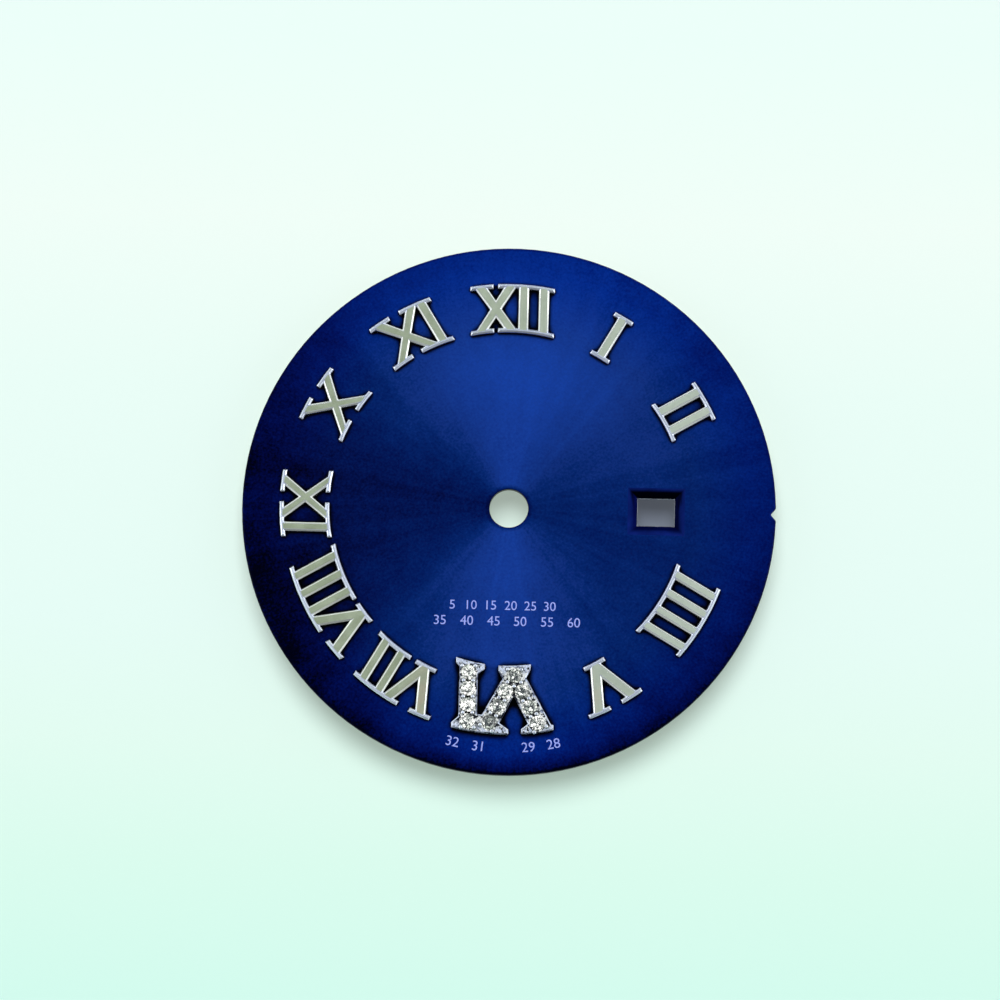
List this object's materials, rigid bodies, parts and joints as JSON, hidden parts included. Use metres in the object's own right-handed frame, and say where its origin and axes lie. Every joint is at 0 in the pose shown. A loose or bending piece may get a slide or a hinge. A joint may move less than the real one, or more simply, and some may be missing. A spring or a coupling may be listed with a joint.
{
  "type": "watch dial",
  "caption": "Round watch dial plate with riveted Roman numerals, a stone-set numeral at the bottom, a date window, a centre hole and two feet on the back.",
  "frame": {"origin": "centre of the hand hole on the dial plate's back face", "axes": "+Z out of the front of the dial, +Y towards twelve o'clock, +X towards three o'clock"},
  "size_m": [0.033, 0.033, 0.0032],
  "materials": {
    "blue_lacquer": "sunburst brushed under clear blue lacquer",
    "numeral_metal": "satin top with bright bevels",
    "setting_metal": "polished",
    "stone": "faceted and polished",
    "foot_brass": "drawn wire"
  },
  "bodies": {
    "root": {"dial_plate": "blue_lacquer", "numeral_1": "numeral_metal", "numeral_2": "numeral_metal", "numeral_4": "numeral_metal", "numeral_5": "numeral_metal", "numeral_7": "numeral_metal", "numeral_8": "numeral_metal", "numeral_9": "numeral_metal", "numeral_10": "numeral_metal", "numeral_11": "numeral_metal", "numeral_12": "numeral_metal", "numeral_6_setting": "setting_metal", "stone_01": "stone", "stone_02": "stone", "stone_03": "stone", "stone_04": "stone", "stone_05": "stone", "stone_06": "stone", "stone_07": "stone", "stone_08": "stone", "stone_09": "stone", "stone_10": "stone", "stone_11": "stone", "dial_foot_a": "foot_brass", "dial_foot_b": "foot_brass"}
  },
  "joints": []
}
